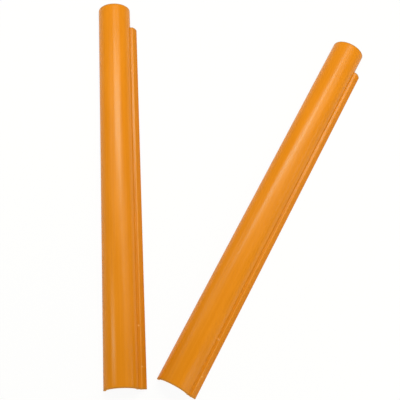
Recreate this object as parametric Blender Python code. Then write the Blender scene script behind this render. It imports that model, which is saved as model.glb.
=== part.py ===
"""Split delineator post: two alike half-round shells, laid open side by side on the floor.

Metres, +Z up. The floor is z = 0, and the origin lies under the middle of the pair.
A shell is one extrusion along +Y: a half-round wall with a plain edge on its left and a lip on its right.
Turned over, either shell closes on the other: its plain edge goes inside the other's lip, on both sides.
"""

import math

import bmesh
import bpy
from mathutils import Matrix, Vector

OBJECT_NAME = "split_delineator_post"

# Half-round wall
LENGTH = 0.9144
OUTER_RADIUS = 0.0381
WALL = 0.0060

# Lapped edges. Heights are measured from the plane where the closed post is split.
LAP = 0.0048                # how far a plain edge reaches up inside the other shell's lip
LAP_CLEARANCE = 0.0004      # gap round a plain edge inside the lip
LIP_WIDTH = 0.0165          # foot of the lip, out from the wall's outer radius
LEDGE_WIDTH = 0.0055        # top of the lip, out from the wall's outer radius
LEDGE_HEIGHT = 0.0090       # top of the lip
LEDGE_ROUND = 0.0050
CREASE_ROUND = 0.0022       # inside corner where the ledge meets the wall
FOOT_ROUND = 0.0012
EDGE_ROUND = 0.0010

# Far end, where the lip is cut away and a plain half-round tongue is left
TONGUE = 0.0495
TONGUE_RELIEF = 0.0003      # how deep that cut goes into the wall
LIP_CORNER_ROUND = 0.0085   # on the lip's outer corner at that cut, seen from above

# How the pair lies
SPREAD_ANGLE = math.radians(30.2)
NEAR_GAP = 0.0196           # from the left shell's lip to the right shell's plain edge
STAGGER = 0.0015            # how far the right shell's near end lies beyond the left one's

# Facets
HALF_TURN_STEPS = 56
ROUND_STEPS = 5
CUTTER_MARGIN = 0.0100      # how far a cutter stands clear of what it cuts
WELD_DISTANCE = 0.00001
SHARP_ANGLE = math.radians(25)

SPLIT_HEIGHT = LAP / 2      # of the split plane above the floor
SHOULDER = LAP / 2 + LAP_CLEARANCE

ORANGE = (0.78, 0.25, 0.016, 1.0)
SATIN_ROUGHNESS = 0.36


def clear_scene():
    for old in list(bpy.data.objects):
        bpy.data.objects.remove(old, do_unlink=True)


def new_collection(name):
    collection = bpy.data.collections.new(name)
    bpy.context.scene.collection.children.link(collection)
    return collection


def orange_plastic(name):
    material = bpy.data.materials.new(name)
    material.use_nodes = True
    shader = material.node_tree.nodes["Principled BSDF"]
    shader.inputs["Base Color"].default_value = ORANGE
    shader.inputs["Roughness"].default_value = SATIN_ROUGHNESS
    shader.inputs["Metallic"].default_value = 0.0
    material.diffuse_color = ORANGE
    return material


def arc(radius, start, end):
    """Points on a circle about the shell's axis, from one angle to another."""
    steps = max(2, round(HALF_TURN_STEPS * abs(end - start) / math.pi))
    angles = [start + (end - start) * i / steps for i in range(steps + 1)]
    return [Vector((radius * math.cos(a), radius * math.sin(a))) for a in angles]


def rounded(before, corner, after, radius):
    """Points of the arc that rounds off one corner of an outline."""
    into = (before - corner).normalized()
    out = (after - corner).normalized()
    half = into.angle(out) / 2
    centre = corner + (into + out).normalized() * radius / math.sin(half)
    first = corner + into * radius / math.tan(half) - centre
    last = corner + out * radius / math.tan(half) - centre
    turn = first.angle_signed(last)
    return [centre + Matrix.Rotation(-turn * i / ROUND_STEPS, 2) @ first for i in range(ROUND_STEPS + 1)]


def crease():
    """Points of the round that fills the inside corner between the ledge and the wall, and its angle there."""
    reach = OUTER_RADIUS + CREASE_ROUND
    rise = LEDGE_HEIGHT + CREASE_ROUND
    angle = math.asin(rise / reach)
    centre = reach * Vector((math.cos(angle), math.sin(angle)))
    start, end = 1.5 * math.pi, math.pi + angle
    turns = [start + (end - start) * i / ROUND_STEPS for i in range(ROUND_STEPS)]
    return [centre + CREASE_ROUND * Vector((math.cos(a), math.sin(a))) for a in turns], angle


def shell_outline():
    """Section of a shell, across its length: x to the right, y up from the split plane."""
    inner_radius = OUTER_RADIUS - WALL
    crease_points, crease_angle = crease()
    shoulder_angle = math.asin(SHOULDER / inner_radius)
    outer_wall = arc(OUTER_RADIUS, crease_angle, math.pi)
    inner_wall = arc(inner_radius, math.pi, shoulder_angle)

    plain_outside = Vector((-OUTER_RADIUS, -LAP / 2))
    plain_inside = Vector((-inner_radius, -LAP / 2))
    shoulder = Vector((OUTER_RADIUS + LAP_CLEARANCE, SHOULDER))
    lip_inside = Vector((OUTER_RADIUS + LAP_CLEARANCE, -LAP / 2))
    lip_foot = Vector((OUTER_RADIUS + LIP_WIDTH, -LAP / 2))
    ledge = Vector((OUTER_RADIUS + LEDGE_WIDTH, LEDGE_HEIGHT))

    plain_edge = rounded(outer_wall[-1], plain_outside, plain_inside, EDGE_ROUND)
    plain_edge += rounded(plain_outside, plain_inside, inner_wall[0], EDGE_ROUND)
    lip = [shoulder]
    lip += rounded(shoulder, lip_inside, lip_foot, EDGE_ROUND)
    lip += rounded(lip_inside, lip_foot, ledge, FOOT_ROUND)
    lip += rounded(lip_foot, ledge, Vector((0, LEDGE_HEIGHT)), LEDGE_ROUND)
    return outer_wall + plain_edge + inner_wall + lip + crease_points


def lip_cut_outline():
    """Section of what the tongue loses: all that stands out from the wall on the lip's side."""
    relief_radius = OUTER_RADIUS - TONGUE_RELIEF
    top = LEDGE_HEIGHT + 2 * CREASE_ROUND
    bottom = -LAP / 2 - CUTTER_MARGIN
    wall = arc(relief_radius, math.asin(bottom / relief_radius), math.asin(top / relief_radius))
    far = OUTER_RADIUS + LIP_WIDTH + CUTTER_MARGIN
    step_out = wall[-1] * (1 + CUTTER_MARGIN / relief_radius)
    return wall + [step_out, Vector((far, step_out.y)), Vector((far, bottom))]


def corner_cut_outline():
    """Plan of what the lip's outer corner loses: the square corner outside its round."""
    corner = Vector((OUTER_RADIUS + LIP_WIDTH, LENGTH - TONGUE))
    chords = rounded(corner - Vector((LIP_WIDTH, 0)), corner, corner - Vector((0, TONGUE)), LIP_CORNER_ROUND)
    run_in = chords[0] + (chords[0] - chords[1])
    run_out = chords[-1] + (chords[-1] - chords[-2])
    beyond = corner + Vector((CUTTER_MARGIN, CUTTER_MARGIN))
    return [run_in] + chords + [run_out, Vector((beyond.x, run_out.y)), beyond, Vector((run_in.x, beyond.y))]


def prism(name, outline, depth):
    """Closed mesh of a flat outline, thickened by half the depth to each side of its plane."""
    curve = bpy.data.curves.new(name, "CURVE")
    curve.dimensions = "2D"
    curve.fill_mode = "BOTH"
    curve.extrude = depth / 2
    spline = curve.splines.new("POLY")
    spline.points.add(len(outline) - 1)
    for point, place in zip(spline.points, outline):
        point.co = (place.x, place.y, 0.0, 1.0)
    spline.use_cyclic_u = True
    drawn = bpy.data.objects.new(name, curve)
    bpy.context.scene.collection.objects.link(drawn)

    evaluated = drawn.evaluated_get(bpy.context.evaluated_depsgraph_get())
    mesh = bpy.data.meshes.new_from_object(evaluated)
    mesh.transform(drawn.matrix_world)
    bpy.data.objects.remove(drawn)
    bpy.data.curves.remove(curve)

    work = bmesh.new()
    work.from_mesh(mesh)
    bmesh.ops.remove_doubles(work, verts=work.verts, dist=WELD_DISTANCE)
    bmesh.ops.recalc_face_normals(work, faces=work.faces)
    work.to_mesh(mesh)
    work.free()
    return mesh


def extruded(name, outline, start, end):
    """Mesh of a section run along +Y from start to end, with its split plane at its height over the floor."""
    mesh = prism(name, outline, end - start)
    stand_up = Matrix(((1, 0, 0, 0), (0, 0, -1, (start + end) / 2), (0, 1, 0, SPLIT_HEIGHT), (0, 0, 0, 1)))
    mesh.transform(stand_up)
    return mesh


def as_guide(collection, name, mesh):
    """Object that only shapes another one."""
    guide = bpy.data.objects.new(name, mesh)
    collection.objects.link(guide)
    guide.hide_render = True
    guide.display_type = "WIRE"
    return guide


def half_shell_mesh(cutters):
    """One shell with its near end on y = 0 and its axis over x = 0, and its lip cut back from the tongue."""
    blank = as_guide(cutters, "shell_blank", extruded("shell_blank", shell_outline(), 0.0, LENGTH))
    lip_mesh = extruded("lip_cutter", lip_cut_outline(), LENGTH - TONGUE, LENGTH + CUTTER_MARGIN)
    corner_depth = 2 * (SPLIT_HEIGHT + LEDGE_HEIGHT + CUTTER_MARGIN)
    corner_mesh = prism("corner_cutter", corner_cut_outline(), corner_depth)
    for name, cut_mesh in (("lip_cutter", lip_mesh), ("corner_cutter", corner_mesh)):
        cut = blank.modifiers.new(name, "BOOLEAN")
        cut.operation = "DIFFERENCE"
        cut.solver = "EXACT"
        cut.object = as_guide(cutters, name, cut_mesh)

    evaluated = blank.evaluated_get(bpy.context.evaluated_depsgraph_get())
    mesh = bpy.data.meshes.new_from_object(evaluated)
    mesh.name = "half_shell"
    mesh.shade_smooth()
    mesh.set_sharp_from_angle(angle=SHARP_ANGLE)
    mesh.materials.clear()
    mesh.materials.append(orange_plastic("orange_plastic"))
    return mesh


def place_pair(parts, mesh):
    """The two shells, spread like a V, under an empty that puts the origin below their middle."""
    datum = bpy.data.objects.new("pair_datum", None)
    left = bpy.data.objects.new("left_half_shell", mesh)
    right = bpy.data.objects.new("right_half_shell", mesh)
    for item in (datum, left, right):
        parts.objects.link(item)
    left.parent = datum
    right.parent = datum
    lip_edge = OUTER_RADIUS + LIP_WIDTH
    right.location = (lip_edge + NEAR_GAP + OUTER_RADIUS * math.cos(SPREAD_ANGLE), STAGGER, 0.0)
    right.rotation_euler.z = -SPREAD_ANGLE

    bpy.context.view_layer.update()
    corners = [shell.matrix_world @ vertex.co for shell in (left, right) for vertex in mesh.vertices]
    for axis in (0, 1):
        along = [corner[axis] for corner in corners]
        datum.location[axis] = -(min(along) + max(along)) / 2


def main():
    clear_scene()
    parts = new_collection(OBJECT_NAME)
    cutters = new_collection("cutters")
    place_pair(parts, half_shell_mesh(cutters))


main()
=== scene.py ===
"""Looks of the split delineator post: two satin orange half-round shells on a white studio floor."""

import math
from collections import namedtuple

import bmesh
import bpy
from mathutils import Matrix, Vector, noise


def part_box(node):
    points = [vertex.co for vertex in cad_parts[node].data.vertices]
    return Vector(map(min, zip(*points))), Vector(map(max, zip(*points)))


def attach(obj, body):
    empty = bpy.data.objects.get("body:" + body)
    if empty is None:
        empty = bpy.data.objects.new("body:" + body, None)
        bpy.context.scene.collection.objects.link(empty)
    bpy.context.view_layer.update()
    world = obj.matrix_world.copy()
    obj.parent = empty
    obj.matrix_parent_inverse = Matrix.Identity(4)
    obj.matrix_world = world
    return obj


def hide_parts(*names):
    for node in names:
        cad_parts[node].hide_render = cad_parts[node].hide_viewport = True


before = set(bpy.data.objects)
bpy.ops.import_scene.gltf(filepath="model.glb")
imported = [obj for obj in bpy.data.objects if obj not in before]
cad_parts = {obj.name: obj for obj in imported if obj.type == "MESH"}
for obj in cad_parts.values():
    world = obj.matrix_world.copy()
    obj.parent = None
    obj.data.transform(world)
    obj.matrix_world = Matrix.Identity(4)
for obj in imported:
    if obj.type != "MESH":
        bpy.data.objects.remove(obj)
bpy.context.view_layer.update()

# Shell, as the solids have it. Heights in a section are measured from the plane where the post is split.
OUTER_RADIUS = 0.0381
WALL = 0.0060
INNER_RADIUS = OUTER_RADIUS - WALL
LAP = 0.0048
LAP_CLEARANCE = 0.0004
LIP_WIDTH = 0.0165
LEDGE_WIDTH = 0.0055
LEDGE_HEIGHT = 0.0090
LEDGE_ROUND = 0.0050
CREASE_ROUND = 0.0022
FOOT_ROUND = 0.0012
EDGE_ROUND = 0.0010
TONGUE = 0.0495
TONGUE_RELIEF = 0.0003
LIP_CORNER_ROUND = 0.0085
SPREAD_ANGLE = math.radians(30.2)
SPLIT_HEIGHT = LAP / 2      # of the split plane above the floor
FOOT_LEVEL = -SPLIT_HEIGHT
SHOULDER = SPLIT_HEIGHT + LAP_CLEARANCE
LENGTH = (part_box("left_half_shell")[1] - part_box("left_half_shell")[0]).y
LIP_END = LENGTH - TONGUE
CREASE_ANGLE = math.asin((LEDGE_HEIGHT + CREASE_ROUND) / (OUTER_RADIUS + CREASE_ROUND))

# Places in the section, with corners as they are before rounding
AXIS = Vector((0.0, 0.0))
PLAIN_CORNER = Vector((-OUTER_RADIUS, FOOT_LEVEL))
FOOT_CORNER = Vector((OUTER_RADIUS + LIP_WIDTH, FOOT_LEVEL))
LEDGE_CORNER = Vector((OUTER_RADIUS + LEDGE_WIDTH, LEDGE_HEIGHT))
LEDGE_RUB = LEDGE_CORNER - Vector((0.0010, 0.0003))     # where the ledge's round is rubbed

# Finer shape that only the looks need
CUT_ROUND = 0.0005          # edges of the sawn ends
CUT_STEPS = 4
CORNER_RUN = 0.0180         # length of lip that bends into its rounded end corner
CORNER_STEPS = 8
ARC_STEP = math.radians(1.2)
ROUND_STEPS = 6
FLAT_STEP = 0.0012
STATION_STEP = 0.0080
LEAST_STEP = STATION_STEP / 3
SHARP_ANGLE = math.radians(40)
WAVE_DEPTH = 0.00007        # how deep the extrusion's gentle unevenness goes
WAVE_LENGTH = 0.085
WAVE_WIDTH = 0.022

# Knocks on the lip near its near end: place along the shell, place in the section, size and depth
Nick = namedtuple("Nick", "along spot size depth")
NICKS = (
    Nick(0.1345, Vector((OUTER_RADIUS + 0.0012, LEDGE_HEIGHT)), 0.0034, 0.0011),
    Nick(0.0468, Vector((OUTER_RADIUS + 0.0062, LEDGE_HEIGHT - 0.0010)), 0.0032, 0.0010),
)
NICK_STEP = 0.0006
NICK_REACH = 1.6            # sizes to each side where points lie close together
DENT_FALLOFF = 2.5
PALE_FALLOFF = 3.5

# Plastic, as linear colours
DEEP_ORANGE = (0.656, 0.211, 0.0055, 1.0)
LIGHT_ORANGE = (0.698, 0.231, 0.0085, 1.0)
RUBBED_ORANGE = (0.790, 0.335, 0.0600, 1.0)
# Painted shade: a darker orange low down, over the lip's slope, the feet and the crease, where shade falls
# near the floor
LOW_SHADE_ORANGE = (0.470, 0.135, 0.0040, 1.0)
# Painted shade: a darker orange along the edges of the sawn ends
SAWN_SHADE_ORANGE = (0.450, 0.185, 0.0180, 1.0)
KNOCKED_ORANGE = (0.860, 0.430, 0.0900, 1.0)

# Noises in the plastic: stretch along the shell's axes, scale and detail
STREAKS = ((1.0, 0.012, 1.0), 240.0, 3.0)
BLOTCHES = ((1.0, 0.30, 1.0), 30.0, 2.0)
SPECKS = ((1.0, 0.6, 1.0), 700.0, 2.0)
PATCHES = ((1.0, 0.4, 1.0), 90.0, 3.0)
STREAK_TONE = 0.6
BLOTCH_TONE = 0.4
TONE_SPAN = (0.36, 0.64)    # from the deep orange to the light one

# Wear and painted shade by distance from where it is worst: how ragged its border is, where it fades and its
# share at most
WearAndShade = namedtuple("WearAndShade", "ragged fade most")
# Painted shade low down: its share is most below the lower height and gone above the upper one
LOW_SHADE = WearAndShade(0.0040, (0.0085, 0.0175), 0.38)
RUBBING = WearAndShade(0.0022, (0.0010, 0.0026), 0.55)
# Sawn ends: the darker colour along them is painted shade, the added roughness is their real dullness
SAWING_AND_SHADE = WearAndShade(0.0010, (0.0018, 0.0040), 0.85)
KNOCK_SHARE = 0.9

# Gloss and relief of the plastic
SPECULAR_LEVEL = 0.155
SPECULAR_TINT = (0.6, 1.0, 0.8, 1.0)
SATIN_SPAN = (0.7, 1.3)     # of blotches and specks together
SATIN_ROUGHNESS = (0.205, 0.265)
RUBBED_ROUGHNESS = 0.15     # added to the satin
SAWN_ROUGHNESS = 0.35       # added to the satin
SPECK_HEIGHT = 0.25         # as a share of the streaks' height
BUMP_STRENGTH = 0.08
BUMP_DEPTH = 0.0002

# Studio
FLOOR_WHITE = (0.86, 0.84, 0.66, 1.0)
FLOOR_REACH = 60.0
SEEN_WHITE = 0.94           # share of even white that the camera sees
MIRRORED_WHITE = 0.30       # share of it that reflections see
WORLD_WHITE = (1.0, 1.0, 1.0, 1.0)
WORLD_LIGHT = 0.08
LAMP_AIM = Vector((-0.05, -0.05, 0.0))

# Camera, from a fit to the outlines of both shells
IMAGE_SIZE = 400
SENSOR_MM = 36.0
FOCAL_PIXELS = 858.4
AIM = Vector((-0.0952, -0.0260, 0.0))
AIM_DISTANCE = 1.9505
AZIMUTH = math.radians(11.06)
ELEVATION = math.radians(69.70)
ROLL = math.radians(8.69)


def arc(centre, radius, start, end):
    """Points on a circle, from one angle to another."""
    steps = max(ROUND_STEPS, round(abs(end - start) / ARC_STEP))
    angles = [start + (end - start) * i / steps for i in range(steps + 1)]
    return [centre + radius * Vector((math.cos(a), math.sin(a))) for a in angles]


def rounded(before, corner, after, radius):
    """Points of the arc that rounds off one corner of an outline."""
    into = (before - corner).normalized()
    out = (after - corner).normalized()
    half = into.angle(out) / 2
    centre = corner + (into + out).normalized() * radius / math.sin(half)
    first = corner + into * radius / math.tan(half) - centre
    last = corner + out * radius / math.tan(half) - centre
    turn = first.angle_signed(last)
    turns = [-turn * i / ROUND_STEPS for i in range(ROUND_STEPS + 1)]
    return [centre + Matrix.Rotation(a, 2) @ first for a in turns]


def spaced(points):
    """The same outline with no straight run longer than the flat step."""
    dense = []
    for here, there in zip(points, points[1:]):
        steps = max(1, math.ceil((there - here).length / FLAT_STEP))
        dense += [here.lerp(there, i / steps) for i in range(steps)]
    return dense + points[-1:]


def wall_section():
    """Wall from the crease over the crest to the plain edge, and back inside to the shoulder."""
    outer = arc(AXIS, OUTER_RADIUS, CREASE_ANGLE, math.pi)
    inner = arc(AXIS, INNER_RADIUS, math.pi, math.asin(SHOULDER / INNER_RADIUS))
    inside = Vector((-INNER_RADIUS, FOOT_LEVEL))
    edge = rounded(outer[-1], PLAIN_CORNER, inside, EDGE_ROUND)
    edge += rounded(PLAIN_CORNER, inside, inner[0], EDGE_ROUND)
    return spaced(outer + edge + inner + tongue_section()[:1])


def lip_section():
    """Lip from its shoulder down, along its foot, up its slope and over the ledge to the crease."""
    shoulder = Vector((OUTER_RADIUS + LAP_CLEARANCE, SHOULDER))
    inside = Vector((OUTER_RADIUS + LAP_CLEARANCE, FOOT_LEVEL))
    crease = (OUTER_RADIUS + CREASE_ROUND) * Vector((math.cos(CREASE_ANGLE), math.sin(CREASE_ANGLE)))
    straight_down = 1.5 * math.pi
    points = [shoulder]
    points += rounded(shoulder, inside, FOOT_CORNER, EDGE_ROUND)
    points += rounded(inside, FOOT_CORNER, LEDGE_CORNER, FOOT_ROUND)
    points += rounded(FOOT_CORNER, LEDGE_CORNER, Vector((0.0, LEDGE_HEIGHT)), LEDGE_ROUND)
    points += arc(crease, CREASE_ROUND, straight_down, math.pi + CREASE_ANGLE)[:-1]
    return spaced(points)


def tongue_section():
    """Wall's outside from the shoulder up to the crease, which shows only on the tongue."""
    radius = OUTER_RADIUS - TONGUE_RELIEF
    return arc(AXIS, radius, math.asin(SHOULDER / radius), CREASE_ANGLE)[:-1]


def long_edges():
    """Places in the section where an edge runs along the shell and gets rubbed."""
    slope = (FOOT_CORNER - LEDGE_CORNER).normalized()
    return [LEDGE_RUB, FOOT_CORNER - slope * FOOT_ROUND, PLAIN_CORNER + Vector((0.0, EDGE_ROUND))]


def outward(points):
    """Outward normals of a closed outline, long enough to move every edge by one unit."""
    normals = []
    for i, point in enumerate(points):
        before = (point - points[i - 1]).normalized()
        after = (points[(i + 1) % len(points)] - point).normalized()
        first = Vector((before.y, -before.x))
        second = Vector((after.y, -after.x))
        normals.append((first + second) / (1 + first.dot(second)))
    return normals


def cut_rings():
    """Steps back from a sawn end, with how far the outline is drawn in there to round the edge."""
    turns = [math.radians(90 * i / CUT_STEPS) for i in range(CUT_STEPS + 1)]
    return [(CUT_ROUND * (1 - math.cos(a)), CUT_ROUND * (1 - math.sin(a))) for a in turns]


def stations():
    """Places along the shell that get a ring of points, each with its inset."""
    ends = cut_rings()
    inner = [LIP_END - back for back, _ in ends]
    inner += [LIP_END - CORNER_RUN * i / CORNER_STEPS for i in range(1, CORNER_STEPS + 1)]
    for nick in NICKS:
        count = math.ceil(NICK_REACH * nick.size / NICK_STEP)
        inner += [nick.along + i * NICK_STEP for i in range(-count, count + 1)]
    steps = round(LENGTH / STATION_STEP)
    even = [LENGTH * i / steps for i in range(1, steps)]
    inner += [y for y in even if min(abs(y - other) for other in inner) > LEAST_STEP]
    places = dict(ends)
    places.update({LENGTH - back: inset for back, inset in ends})
    places.update({y: 0.0 for y in inner})
    return sorted(places.items())


def wave(point, along):
    """How far the surface sinks in from its true form."""
    around = math.atan2(point.y, point.x) * OUTER_RADIUS
    swell = noise.noise(Vector((around / WAVE_WIDTH, along / WAVE_LENGTH, point.length / WAVE_WIDTH)))
    return WAVE_DEPTH * (0.5 + 0.5 * swell)


def knock(point, along):
    """How deep the knocks reach at one point of the surface, and how whitened the plastic is there."""
    depth, pale = 0.0, 0.0
    for nick in NICKS:
        near = math.hypot(along - nick.along, (point - nick.spot).length) / nick.size
        depth += nick.depth * math.exp(-DENT_FALLOFF * near ** 2)
        pale += math.exp(-PALE_FALLOFF * near ** 2)
    return depth, min(1.0, pale)


def corner_recess(across):
    """How far the lip's end lies back from its cut, at one distance from the axis."""
    into = max(0.0, across - (OUTER_RADIUS + LIP_WIDTH - LIP_CORNER_ROUND))
    return LIP_CORNER_ROUND - math.sqrt(max(0.0, LIP_CORNER_ROUND ** 2 - into ** 2))


# Points of one station. Only the one at the lip's cut has points of both the lip and the tongue.
Ring = namedtuple("Ring", "wall lip tongue")


class Shell:
    """Points of one shell as they are laid, with what the material needs to know at each."""

    def __init__(self):
        self.work = bmesh.new()
        self.edges = long_edges()
        self.kept = {"from_cut": [], "from_edge": [], "knocked": []}

    def point(self, section, normal, along, inset, end):
        """New point of a ring, where the shell or lip that it is on runs from 0 to end."""
        deep, pale = knock(section, along)
        above_foot = section.y > FOOT_LEVEL + EDGE_ROUND
        moved = section - normal * (inset + (wave(section, along) + deep if above_foot else 0.0))
        self.kept["from_cut"].append(min(along, end - along))
        self.kept["from_edge"].append(min((section - edge).length for edge in self.edges))
        self.kept["knocked"].append(pale)
        return self.work.verts.new((moved.x, along, moved.y + SPLIT_HEIGHT))

    def lay_rings(self):
        """Rings of points from the near end to the tongue's end."""
        wall, lip, tongue = wall_section(), lip_section(), tongue_section()[1:]
        lipped_normals = outward(wall + lip)
        tongue_normals = outward(wall + tongue)
        rings = []
        for along, inset in stations():
            lipped, tongued = along <= LIP_END, along >= LIP_END
            normals = lipped_normals if lipped else tongue_normals
            ring = Ring([self.point(p, n, along, inset, LENGTH) for p, n in zip(wall, normals)], [], [])
            if lipped:
                bend = max(0.0, 1 - (LIP_END - along) / CORNER_RUN)
                for p, n in zip(lip, lipped_normals[len(wall):]):
                    recess = corner_recess(p.x)
                    ring.lip.append(self.point(p, n, along - bend * recess, inset, LIP_END - recess))
            if tongued:
                for p, n in zip(tongue, tongue_normals[len(wall):]):
                    ring.tongue.append(self.point(p, n, along, inset, LENGTH))
            rings.append(ring)
        return rings

    def skin(self, rings):
        """Faces from ring to ring, over both ends and over the cut where the lip stops."""
        faces = self.work.faces
        for here, there in zip(rings, rings[1:]):
            lipped = here.lip and there.lip
            first = here.wall + (here.lip if lipped else here.tongue)
            second = there.wall + (there.lip if lipped else there.tongue)
            for i in range(len(first)):
                j = (i + 1) % len(first)
                faces.new((first[i], first[j], second[j], second[i]))
        faces.new(list(reversed(rings[0].wall + rings[0].lip)))
        faces.new(rings[-1].wall + rings[-1].tongue)
        cut = next(ring for ring in rings if ring.lip and ring.tongue)
        faces.new([cut.wall[-1]] + cut.lip + [cut.wall[0]] + list(reversed(cut.tongue)))

    def mesh(self, name):
        """Finished mesh, which keeps at each point what the material reads."""
        bmesh.ops.recalc_face_normals(self.work, faces=self.work.faces)
        mesh = bpy.data.meshes.new(name)
        self.work.to_mesh(mesh)
        self.work.free()
        mesh.shade_smooth()
        mesh.set_sharp_from_angle(angle=SHARP_ANGLE)
        places = [axis for vertex in mesh.vertices for axis in vertex.co]
        mesh.attributes.new("shell_place", "FLOAT_VECTOR", "POINT").data.foreach_set("vector", places)
        for kept, values in self.kept.items():
            mesh.attributes.new(kept, "FLOAT", "POINT").data.foreach_set("value", values)
        return mesh


def shell_mesh(name):
    """One shell, with its near end on y = 0 and its axis over x = 0."""
    shell = Shell()
    shell.skin(shell.lay_rings())
    return shell.mesh(name)


def feed(tree, socket, value):
    """Links an output to a socket, or sets the socket's own value."""
    if isinstance(value, bpy.types.NodeSocket):
        tree.links.new(value, socket)
    else:
        socket.default_value = value


def calc(tree, operation, first, second):
    """Result of one arithmetic step on two outputs or numbers."""
    step = tree.nodes.new("ShaderNodeMath")
    step.operation = operation
    feed(tree, step.inputs[0], first)
    feed(tree, step.inputs[1], second)
    return step.outputs[0]


def add_share(tree, value, other, share):
    """A value plus a share of another."""
    return calc(tree, "ADD", value, calc(tree, "MULTIPLY", other, share))


def attribute(tree, name, output):
    """What the mesh keeps at each point."""
    read = tree.nodes.new("ShaderNodeAttribute")
    read.attribute_name = name
    return read.outputs[output]


def height_of(tree, place):
    """Height of a place above the floor."""
    axes = tree.nodes.new("ShaderNodeSeparateXYZ")
    tree.links.new(place, axes.inputs[0])
    return axes.outputs["Z"]


def grain(tree, place, stretch, scale, detail):
    """Noise in the shell's own frame, where a stretch below 1 draws it out along that axis."""
    drawn = tree.nodes.new("ShaderNodeMapping")
    drawn.inputs["Scale"].default_value = stretch
    tree.links.new(place, drawn.inputs["Vector"])
    texture = tree.nodes.new("ShaderNodeTexNoise")
    texture.inputs["Scale"].default_value = scale
    texture.inputs["Detail"].default_value = detail
    tree.links.new(drawn.outputs[0], texture.inputs["Vector"])
    return texture.outputs["Fac"]


def ramp(tree, value, span, result=(0.0, 1.0)):
    """Smooth change from one end of a result to the other while a value crosses a span."""
    step = tree.nodes.new("ShaderNodeMapRange")
    step.interpolation_type = "SMOOTHSTEP"
    tree.links.new(value, step.inputs["Value"])
    step.inputs["From Min"].default_value, step.inputs["From Max"].default_value = span
    step.inputs["To Min"].default_value, step.inputs["To Max"].default_value = result
    return step.outputs[0]


def blend(tree, share, first, second):
    """Colour between two others."""
    step = tree.nodes.new("ShaderNodeMix")
    step.data_type = "RGBA"
    feed(tree, step.inputs["Factor"], share)
    feed(tree, step.inputs["A"], first)
    feed(tree, step.inputs["B"], second)
    return step.outputs["Result"]


def wear_and_shade_share(tree, distance, border, spread):
    """Share of one kind of wear, by distance from where it is worst and a noise for its border; the painted
    shade uses it too.
    """
    return ramp(tree, add_share(tree, distance, border, spread.ragged), spread.fade, (spread.most, 0.0))


def relief(tree, height):
    """Normal of a surface with a fine relief."""
    bump = tree.nodes.new("ShaderNodeBump")
    bump.inputs["Strength"].default_value = BUMP_STRENGTH
    bump.inputs["Distance"].default_value = BUMP_DEPTH
    tree.links.new(height, bump.inputs["Height"])
    return bump.outputs[0]


def orange_plastic():
    """Extruded plastic with faint streaks, painted shade low down, rubbed long edges, sawn ends that are
    dull and darkened by painted shade, and pale knocks.
    """
    material = bpy.data.materials.new("orange_plastic")
    material.use_nodes = True
    tree = material.node_tree
    shader = tree.nodes["Principled BSDF"]
    shader.inputs["Specular IOR Level"].default_value = SPECULAR_LEVEL
    shader.inputs["Specular Tint"].default_value = SPECULAR_TINT

    place = attribute(tree, "shell_place", "Vector")
    streaks = grain(tree, place, *STREAKS)
    blotches = grain(tree, place, *BLOTCHES)
    specks = grain(tree, place, *SPECKS)
    patches = grain(tree, place, *PATCHES)

    # painted shade, darker towards the floor
    low_shade = wear_and_shade_share(tree, height_of(tree, place), patches, LOW_SHADE)
    rubbed = wear_and_shade_share(tree, attribute(tree, "from_edge", "Fac"), patches, RUBBING)
    # painted shade along the sawn ends, together with their real dullness
    sawn_and_shade = wear_and_shade_share(tree, attribute(tree, "from_cut", "Fac"), specks, SAWING_AND_SHADE)
    knocked = calc(tree, "MULTIPLY", attribute(tree, "knocked", "Fac"), KNOCK_SHARE)

    tone = add_share(tree, calc(tree, "MULTIPLY", streaks, STREAK_TONE), blotches, BLOTCH_TONE)
    colour = blend(tree, ramp(tree, tone, TONE_SPAN), DEEP_ORANGE, LIGHT_ORANGE)
    colour = blend(tree, low_shade, colour, LOW_SHADE_ORANGE)
    colour = blend(tree, rubbed, colour, RUBBED_ORANGE)
    colour = blend(tree, sawn_and_shade, colour, SAWN_SHADE_ORANGE)
    colour = blend(tree, knocked, colour, KNOCKED_ORANGE)
    tree.links.new(colour, shader.inputs["Base Color"])

    rough = ramp(tree, calc(tree, "ADD", blotches, specks), SATIN_SPAN, SATIN_ROUGHNESS)
    rough = add_share(tree, rough, rubbed, RUBBED_ROUGHNESS)
    rough = add_share(tree, rough, sawn_and_shade, SAWN_ROUGHNESS)
    tree.links.new(rough, shader.inputs["Roughness"])

    tree.links.new(relief(tree, add_share(tree, streaks, specks, SPECK_HEIGHT)), shader.inputs["Normal"])
    return material


def new_object(name, data):
    """Object in the scene that holds a mesh, lamp or camera."""
    made = bpy.data.objects.new(name, data)
    bpy.context.scene.collection.objects.link(made)
    return made


def shells():
    """Both shells, laid where the solids are."""
    plastic = orange_plastic()
    left_low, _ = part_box("left_half_shell")
    right_low, right_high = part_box("right_half_shell")
    cosine, sine = math.cos(SPREAD_ANGLE), math.sin(SPREAD_ANGLE)
    left_place = Vector((left_low.x + OUTER_RADIUS, left_low.y, 0.0))
    right_place = Vector((
        right_low.x + OUTER_RADIUS * cosine,
        right_high.y - LENGTH * cosine - OUTER_RADIUS * sine,
        0.0,
    ))
    for side, where, angle in (("left", left_place, 0.0), ("right", right_place, -SPREAD_ANGLE)):
        mesh = shell_mesh(f"{side}_shell_surface")
        mesh.transform(Matrix.Translation(where) @ Matrix.Rotation(angle, 4, "Z"))
        mesh.materials.append(plastic)
        shell = new_object(f"{side}_shell_surface", mesh)
        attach(shell, f"{side}_half")
        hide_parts(f"{side}_half_shell")


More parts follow.
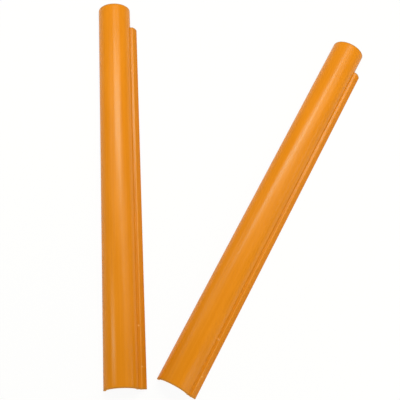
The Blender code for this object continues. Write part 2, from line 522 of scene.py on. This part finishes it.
def camera():
    """Camera at the photograph's view."""
    forward = Vector((
        math.sin(AZIMUTH) * math.cos(ELEVATION),
        math.cos(AZIMUTH) * math.cos(ELEVATION),
        -math.sin(ELEVATION),
    ))
    level_right = Vector((math.cos(AZIMUTH), -math.sin(AZIMUTH), 0.0))
    right = level_right * math.cos(ROLL) + level_right.cross(forward) * math.sin(ROLL)
    up = right.cross(forward)
    data = bpy.data.cameras.new("camera")
    data.sensor_width = SENSOR_MM
    data.lens = SENSOR_MM * FOCAL_PIXELS / IMAGE_SIZE
    eye = new_object("camera", data)
    turned = Matrix((right, up, -forward)).transposed()
    eye.matrix_world = Matrix.LocRotScale(AIM - forward * AIM_DISTANCE, turned, None)
    bpy.context.scene.camera = eye


def shown_white(tree):
    """Share of even white in the background: most of what the camera sees, less of what is reflected."""
    path = tree.nodes.new("ShaderNodeLightPath").outputs
    seen = calc(tree, "MAXIMUM", path["Is Camera Ray"], path["Is Transmission Ray"])
    seen = calc(tree, "MULTIPLY", seen, SEEN_WHITE)
    mirrored = calc(tree, "MULTIPLY", path["Is Glossy Ray"], MIRRORED_WHITE)
    return calc(tree, "MAXIMUM", seen, mirrored)


def floor_white():
    """Matte warm white that keeps shadows, mostly hidden by an even white."""
    material = bpy.data.materials.new("floor_white")
    material.use_nodes = True
    tree = material.node_tree
    tree.nodes.clear()
    matte = tree.nodes.new("ShaderNodeBsdfDiffuse")
    matte.inputs["Color"].default_value = FLOOR_WHITE
    glow = tree.nodes.new("ShaderNodeEmission")
    mix = tree.nodes.new("ShaderNodeMixShader")
    tree.links.new(shown_white(tree), mix.inputs[0])
    tree.links.new(matte.outputs[0], mix.inputs[1])
    tree.links.new(glow.outputs[0], mix.inputs[2])
    output = tree.nodes.new("ShaderNodeOutputMaterial")
    tree.links.new(mix.outputs[0], output.inputs["Surface"])
    return material


def floor():
    """Very wide flat floor."""
    work = bmesh.new()
    bmesh.ops.create_grid(work, x_segments=1, y_segments=1, size=FLOOR_REACH)
    mesh = bpy.data.meshes.new("floor")
    work.to_mesh(mesh)
    work.free()
    mesh.materials.append(floor_white())
    new_object("floor", mesh)


def softbox(name, where, width, height, radiance):
    """Soft rectangular light that faces the pair."""
    data = bpy.data.lights.new(name, "AREA")
    data.shape = "RECTANGLE"
    data.size = width
    data.size_y = height
    data.energy = radiance * math.pi * width * height
    lamp = new_object(name, data)
    lamp.location = where
    lamp.visible_camera = False
    facing = LAMP_AIM - lamp.location
    lamp.rotation_euler = facing.to_track_quat("-Z", "Y").to_euler()


def lights():
    """Softboxes round the pair: each one's place, width, height and radiance."""
    softbox("back_softbox", (0.10, 1.45, 2.60), 1.70, 0.65, 15.0)
    softbox("back_fill", (1.20, 1.20, 2.60), 1.70, 1.25, 4.0)
    softbox("left_strip", (-1.90, 0.10, 1.60), 0.15, 0.90, 20.0)
    softbox("left_panel", (-0.65, 0.45, 0.75), 0.55, 0.60, 2.0)
    softbox("right_front_panel", (0.50, -0.70, 0.30), 0.20, 0.60, 3.0)
    softbox("right_panel", (0.70, 0.10, 0.70), 0.70, 0.50, 1.8)
    softbox("right_side_panel", (1.80, -0.15, 0.55), 0.50, 0.40, 3.2)
    softbox("front_softbox", (-0.75, -2.60, 0.35), 0.85, 0.60, 25.0)


def surroundings():
    """Dim white light from all round, shown as the floor's own white."""
    world = bpy.data.worlds.new("studio")
    world.use_nodes = True
    tree = world.node_tree
    glow = tree.nodes["Background"]
    glow.inputs["Color"].default_value = WORLD_WHITE
    tree.links.new(calc(tree, "MAXIMUM", shown_white(tree), WORLD_LIGHT), glow.inputs["Strength"])
    bpy.context.scene.world = world


camera()
shells()
floor()
lights()
surroundings()
bpy.context.scene.view_settings.view_transform = "Standard"
